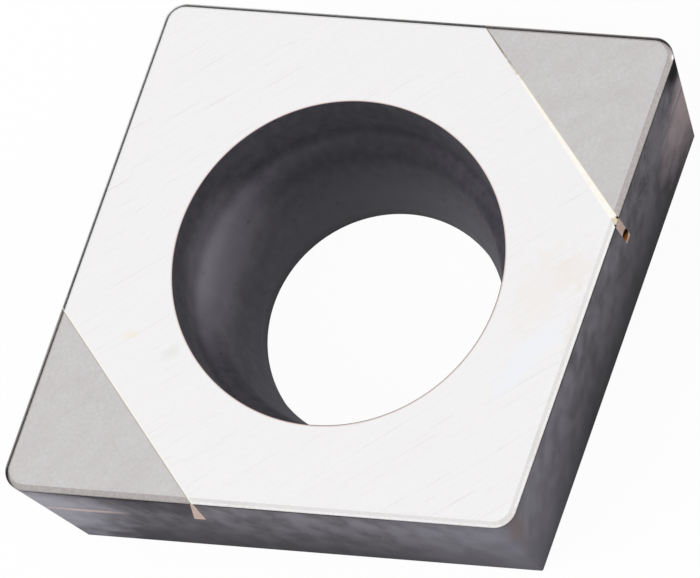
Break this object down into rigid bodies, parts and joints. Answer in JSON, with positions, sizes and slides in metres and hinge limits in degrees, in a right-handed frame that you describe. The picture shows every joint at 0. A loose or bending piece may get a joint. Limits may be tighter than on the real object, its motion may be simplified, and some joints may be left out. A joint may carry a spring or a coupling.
{
  "type": "carbide insert",
  "caption": "Rhombic 80 degree turning insert with 7 degree relief flanks, a recessed screw hole and a brazed superhard cutting tip at each acute corner.",
  "frame": {"origin": "on the axis of the screw hole, in the seating face", "axes": "+Z out of the cutting face, +X along the long diagonal through the tipped acute corners, +Y along the short diagonal"},
  "size_m": [0.0144, 0.0122, 0.004],
  "materials": {
    "carbide": "ground faces, as-sintered hole",
    "superhard": "fine ground, matte",
    "braze": "ground flush, satin"
  },
  "bodies": {
    "root": {"carbide_body": "carbide", "cutting_tip_east": "superhard", "cutting_tip_west": "superhard", "braze_east": "braze", "braze_west": "braze"}
  },
  "joints": []
}
